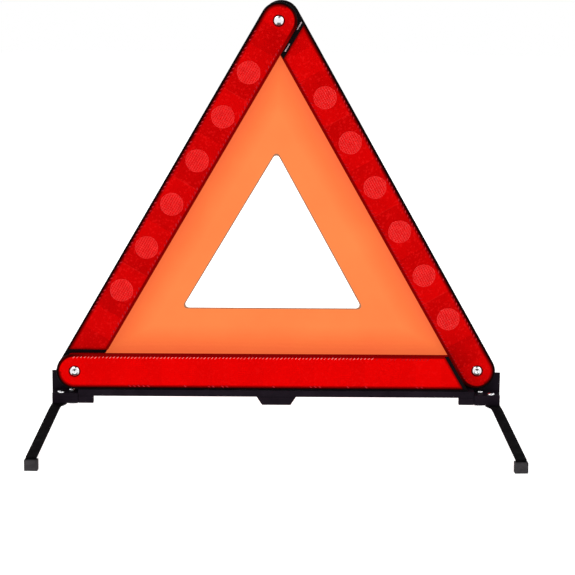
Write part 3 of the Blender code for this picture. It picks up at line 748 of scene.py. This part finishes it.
def cad_rivet(node, head, body, name, riveted=True):
    """A rivet along Y standing for its CAD node; heights grow towards the viewer."""
    low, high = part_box(node)
    centre = Vector(((low[0] + high[0]) / 2, 0.0, (low[2] + high[2]) / 2))
    head_base = -(low[1] + HEAD_HEIGHT)
    profile = head(head_base) + [(HEAD_RADIUS, head_base), (SHAFT_RADIUS, head_base)]
    end = -high[1]
    if riveted:
        shoulder, bevel = end + TAIL_HEIGHT, 0.0004
        profile += [(SHAFT_RADIUS, shoulder), (TAIL_RADIUS - bevel, shoulder),
                    (TAIL_RADIUS, shoulder - bevel), (TAIL_RADIUS, end + bevel),
                    (TAIL_RADIUS - bevel, end), (0.0, end)]
    else:
        bevel = 0.0003
        profile += [(SHAFT_RADIUS, end + bevel), (SHAFT_RADIUS - bevel, end), (0.0, end)]
    matrix = Matrix.Translation(centre) @ Matrix.Rotation(math.radians(90), 4, "X")
    return make_object(name, turned(name, profile), matrix, METAL, body, (node,), 40)


def tube_head(base):
    return hollow_head(HEAD_RADIUS, HEAD_HEIGHT, 0.0022, base)


def snap_head(base):
    return dome_head(HEAD_RADIUS, HEAD_HEIGHT, base)


cad_rivet("bottom_left_rivet", tube_head, "root", "bottom_left_tube_rivet")
cad_rivet("bottom_right_rivet", tube_head, "root", "bottom_right_tube_rivet")
cad_rivet("top_snap_stud", snap_head, "left_arm", "top_snap_button", False)


# ------------------------------------------------------------------ fluorescent sheet
def sheet_mesh(name):
    """The triangular sheet with its rounded hole, a fine grid with faint ripples above its foot."""
    low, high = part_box("fluorescent_sheet")
    middle_y = (low[1] + high[1]) / 2
    centre = Vector((0.0, (LEFT.z + TOP.z + RIGHT.z) / 3))

    def corner(reach, heading):
        turn = math.radians(heading)
        return centre[0] + reach * math.cos(turn), centre[1] + reach * math.sin(turn)

    def triangle(inset, radius):
        reach = SIDE / math.sqrt(3) - 2 * inset - 2 * radius
        points = []
        for heading in (-150, -30, 90):
            middle, following = corner(reach, heading), corner(reach, heading + 120)
            for i in range(CORNER_POINTS):
                t = math.radians(heading - 60 + 120 * i / (CORNER_POINTS - 1))
                points.append(Vector((middle[0] + radius * math.cos(t), middle[1] + radius * math.sin(t))))
            side = math.radians(heading + 60)
            off = Vector((radius * math.cos(side), radius * math.sin(side)))
            start, end = Vector(middle) + off, Vector(following) + off
            points += [start.lerp(end, i / SHEET_COLUMNS) for i in range(1, SHEET_COLUMNS)]
        return points

    outer, inner = triangle(*SHEET_EDGE), triangle(*SHEET_HOLE)
    apex, foot = max(p[1] for p in inner), min(p[1] for p in inner)
    left, left_at_foot, down_at_foot = HOLE_SHIFT
    for p in inner:
        down = (apex - p[1]) / (apex - foot)
        p[0] -= left + left_at_foot * down
        p[1] -= down_at_foot * down
    work = bmesh.new()
    shares = [(1 - CUT_EDGE_SHARE) * r / (SHEET_ROWS - 1) for r in range(SHEET_ROWS)] + [1.0]
    ring_rows = []
    for share in shares:
        points = [a.lerp(b, share) for a, b in zip(outer, inner)]
        ring_rows.append([work.verts.new((p[0], middle_y, p[1])) for p in points])
    count = len(outer)
    for first, second in zip(ring_rows, ring_rows[1:]):
        for i in range(count):
            j = (i + 1) % count
            face = work.faces.new((first[i], first[j], second[j], second[i]))
            face.material_index = 1 if second is ring_rows[-1] else 0
    for vert in work.verts:
        x, z = vert.co.x, vert.co.z
        ripple = 0.00006 * math.sin(z * 260.0 + 3.0 * math.sin(x * 11.0))
        low_band = math.exp(-((z - LEFT.z - 0.024) / 0.010) ** 2)
        vert.co.y += ripple + 0.00030 * low_band * math.sin(z * 1500.0 + 2.0 * math.sin(x * 17.0))
    return finished(work, name)


flat_mesh = sheet_mesh("orange_sheet")
flat_mesh.materials.append(ORANGE)
flat_mesh.materials.append(CUT_EDGE)
cloth = bpy.data.objects.new("orange_sheet_flat", flat_mesh)
bpy.context.scene.collection.objects.link(cloth)
thick = cloth.modifiers.new("thickness", "SOLIDIFY")
thick.thickness = SHEET_THICKNESS
thick.offset = 0.0
final = evaluated(cloth)
bpy.data.objects.remove(cloth, do_unlink=True)
sheet = make_object("orange_sheet", final, Matrix.Identity(4), (ORANGE, CUT_EDGE), "root",
                    ("fluorescent_sheet",), 40)
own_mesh(sheet)


# ------------------------------------------------------------------ stand, legs and feet
BODY_OF = {node: body for body, nodes in frame["record"]["behaviour"]["bodies"].items() for node in nodes}


def refined(node, name, material, width, segments=3):
    """The node's shape again with its edges rounded as a moulding or stamping has them."""
    work = bpy.data.objects.new(name, frame["nodes"][node].data.copy())
    bpy.context.scene.collection.objects.link(work)
    bevel = work.modifiers.new("edge", "BEVEL")
    bevel.width = width
    bevel.segments = segments
    bevel.limit_method = "ANGLE"
    bevel.angle_limit = math.radians(32)
    mesh = evaluated(work)
    bpy.data.objects.remove(work, do_unlink=True)
    return make_object(name, mesh, Matrix.Identity(4), material, BODY_OF[node], (node,), 40)


for side in ("left", "right"):
    refined(f"{side}_end_plate", f"{side}_corner_plate", STAND_BLACK, 0.0003, 2)
    refined(f"{side}_leg_block", f"{side}_swivel_block", STAND_BLACK, 0.0010)
    refined(f"{side}_bar_pad", f"{side}_rest_pad", STAND_BLACK, 0.0007)
    for row in ("front", "rear"):
        refined(f"{row}_{side}_leg", f"{row}_{side}_strip", STEEL, 0.0003, 2)
        refined(f"{row}_{side}_leg_foot", f"{row}_{side}_rubber_foot", RUBBER, 0.0009)
refined("stand_bar", "bar_moulding", STAND_BLACK, 0.0004, 2)
refined("centre_foot", "centre_rest", STAND_BLACK, 0.0007)


def finish_node(node, material):
    """Give a CAD node its finish."""
    obj = frame["nodes"][node]
    for slot in obj.material_slots:
        slot.material = material
    if not obj.material_slots:
        obj.data.materials.append(material)


for side in ("left", "right"):
    finish_node(f"{side}_plate_screw", DARK_METAL)
    finish_node(f"{side}_base_screw", DARK_METAL)
    for row in ("front", "rear"):
        low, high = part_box(f"{row}_{side}_leg_rivet")
        centre = Vector(((low[0] + high[0]) / 2, (low[1] + high[1]) / 2, 0.0))
        base, foot = high[2] - 0.0012, low[2]
        profile = dome_head(0.0037, 0.0021, base)
        profile += [(0.0037, base), (SHAFT_RADIUS, base), (SHAFT_RADIUS, foot + 0.0012),
                    (0.0034, foot + 0.0012), (0.0036, foot + 0.0010), (0.0036, foot + 0.0002),
                    (0.0034, foot), (0.0, foot)]
        name = f"{row}_{side}_swivel_rivet"
        make_object(name, turned(name, profile, 32), Matrix.Translation(centre), METAL, "root",
                    (f"{row}_{side}_leg_rivet",), 40)
finish_node("top_snap_socket", DARK_METAL)

# ------------------------------------------------------------------ stage, light, camera
floor_mesh = loft("floor", [disc_ring((0, 0), 4.0, -0.0004, 96), disc_ring((0, 0), 4.0, 0.0, 96)])
floor = bpy.data.objects.new("floor", floor_mesh)
bpy.context.scene.collection.objects.link(floor)
paint = Shader("pale_floor")
paint.put(Base_Color=(0.95, 0.95, 0.95, 1.0), Roughness=0.9, Specular_IOR_Level=0.0,
          Emission_Color=(1.0, 1.0, 1.0, 1.0), Emission_Strength=0.64)
floor_mesh.materials.append(paint.mat)
floor.visible_glossy = False

AIM = Vector((0.0, 0.0, 0.2))


def area_light(name, location, size, power):
    """A soft rectangular light aimed at the middle of the triangle."""
    data = bpy.data.lights.new(name, "AREA")
    data.shape = "RECTANGLE"
    data.size = size[0]
    data.size_y = size[1]
    data.energy = power
    light = bpy.data.objects.new(name, data)
    light.location = location
    light.rotation_euler = (AIM - Vector(location)).to_track_quat("-Z", "Y").to_euler()
    bpy.context.scene.collection.objects.link(light)


area_light("key", (-0.9, -1.5, 1.5), (1.4, 1.0), 13.0)
area_light("fill", (1.3, -1.4, 1.0), (1.4, 1.2), 8.0)
area_light("top", (0.0, 0.1, 2.2), (2.0, 2.0), 10.0)
area_light("back", (0.0, 1.8, 1.2), (2.0, 1.2), 12.0)

world = bpy.data.worlds.new("studio")
bpy.context.scene.world = world
world.use_nodes = True
tree = world.node_tree
background = tree.nodes["Background"]
background.inputs["Color"].default_value = (1.0, 1.0, 1.0, 1.0)
background.inputs["Strength"].default_value = 0.42


def world_math(operation, a, b):
    """A math node of the world's tree."""
    item = tree.nodes.new("ShaderNodeMath")
    item.operation = operation
    for socket, source in zip(item.inputs, (a, b)):
        if isinstance(source, float):
            socket.default_value = source
        else:
            tree.links.new(source, socket)
    return item.outputs[0]


# what shiny metal mirrors: a bright tent with a dark slot overhead and below
direction = tree.nodes.new("ShaderNodeTexCoord")
parts = tree.nodes.new("ShaderNodeSeparateXYZ")
tree.links.new(direction.outputs["Generated"], parts.inputs[0])
high = world_math("ABSOLUTE", parts.outputs[2], 0.0)
sideways = world_math("ABSOLUTE", parts.outputs[0], 0.0)
narrow = world_math("LESS_THAN", sideways, world_math("MULTIPLY", high, 0.62))
steep = world_math("GREATER_THAN", high, 0.30)
slot_mask = world_math("MULTIPLY", narrow, steep)
tent = tree.nodes.new("ShaderNodeBackground")
tent.inputs["Color"].default_value = (1.0, 1.0, 1.0, 1.0)
brightness = world_math("SUBTRACT", 1.15, world_math("MULTIPLY", slot_mask, 1.05))
tree.links.new(brightness, tent.inputs["Strength"])
seen = tree.nodes.new("ShaderNodeBackground")
seen.inputs["Color"].default_value = (1.0, 1.0, 1.0, 1.0)
seen.inputs["Strength"].default_value = 1.0
ray = tree.nodes.new("ShaderNodeLightPath")
first = tree.nodes.new("ShaderNodeMixShader")
tree.links.new(ray.outputs["Is Glossy Ray"], first.inputs[0])
tree.links.new(background.outputs[0], first.inputs[1])
tree.links.new(tent.outputs[0], first.inputs[2])
blend = tree.nodes.new("ShaderNodeMixShader")
tree.links.new(ray.outputs["Is Camera Ray"], blend.inputs[0])
tree.links.new(first.outputs[0], blend.inputs[1])
tree.links.new(seen.outputs[0], blend.inputs[2])
tree.links.new(blend.outputs[0], tree.nodes["World Output"].inputs["Surface"])

scene = bpy.context.scene
scene.view_settings.view_transform = "Standard"
scene.view_settings.look = "None"

camera_data = bpy.data.cameras.new("camera")
camera_data.sensor_width = 36.0
camera_data.lens = 127.94087
camera_data.clip_start = 0.01
camera_data.clip_end = 50.0
camera = bpy.data.objects.new("camera", camera_data)
scene.collection.objects.link(camera)
EYE = (-0.0068, -1.9728, 0.5487)
PITCH, YAW, ROLL = 0.2059, 0.0087, 0.0080       # radians: downward, to the right, anticlockwise
camera.matrix_world = (Matrix.Translation(EYE)
                       @ Matrix.Rotation(-YAW, 4, "Z")
                       @ Matrix.Rotation(math.radians(90) - PITCH, 4, "X")
                       @ Matrix.Rotation(ROLL, 4, "Z"))
scene.camera = camera
